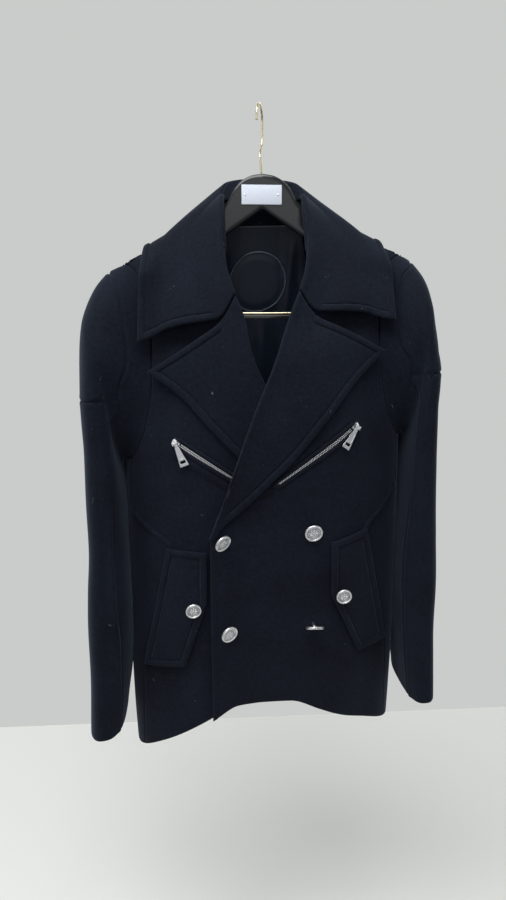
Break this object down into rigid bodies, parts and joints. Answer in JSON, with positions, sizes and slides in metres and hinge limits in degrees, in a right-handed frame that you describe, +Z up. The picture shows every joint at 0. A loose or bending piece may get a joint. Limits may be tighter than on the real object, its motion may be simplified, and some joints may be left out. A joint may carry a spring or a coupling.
{
  "type": "heavy wool double-breasted pea coat on a hanger",
  "caption": "Short heavy wool double-breasted coat with a wide collar, slanted chest zips, long pocket flaps and metal buttons, hanging from a contoured hanger with a wire hook.",
  "frame": {"origin": "inner top of the hanger's hook, where a rail or a chain carries it", "axes": "+Z up, +X to the wearer's left, the front of the coat faces -Y"},
  "size_m": [0.51, 0.234, 0.9326],
  "materials": {
    "melton_wool": "dense felted near-black navy wool",
    "lining_satin": "dark navy satin with a soft sheen",
    "silver_metal": "polished silver-coloured metal",
    "hook_gold": "pale gold wire",
    "hanger_lacquer": "glossy black",
    "plate_card": "blank pale plate"
  },
  "bodies": {
    "coat": {"front_left": "melton_wool", "side_left": "melton_wool", "front_right": "melton_wool", "side_right": "melton_wool", "back": "melton_wool", "lapel_left": "melton_wool", "flap_left": "melton_wool", "lapel_right": "melton_wool", "flap_right": "melton_wool", "collar": "melton_wool", "collar_stand": "melton_wool", "sleeve_cap_left": "melton_wool", "sleeve_outer_left": "melton_wool", "sleeve_under_left": "melton_wool", "sleeve_cap_right": "melton_wool", "sleeve_outer_right": "melton_wool", "sleeve_under_right": "melton_wool", "lining_back": "lining_satin", "lining_patch": "lining_satin", "hanger": "hanger_lacquer", "hanger_hook": "hook_gold", "hanger_bar": "hook_gold", "hanger_clamp_bar": "hanger_lacquer", "hanger_plate": "plate_card", "zip_left": "silver_metal", "zip_slider_left": "silver_metal", "zip_right": "silver_metal", "zip_slider_right": "silver_metal", "button_upper_right": "silver_metal", "button_upper_left": "silver_metal", "button_lower_right": "silver_metal", "button_lower_left": "silver_metal", "flap_button_right": "silver_metal", "flap_button_left": "silver_metal"},
    "pull_left": {"zip_pull_left": "silver_metal"},
    "pull_right": {"zip_pull_right": "silver_metal"}
  },
  "joints": [
    {"name": "zip_pull_left_hinge", "type": "hinge", "parent": "coat", "child": "pull_left", "pos_m": [0.12362, -0.11783, -0.42743], "axis": [-0.7493, -0.347, 0.564], "range_deg": [0, 150]},
    {"name": "zip_pull_right_hinge", "type": "hinge", "parent": "coat", "child": "pull_right", "pos_m": [-0.12101, -0.11038, -0.44809], "axis": [-0.8935, 0.2345, -0.383], "range_deg": [0, 150]}
  ]
}
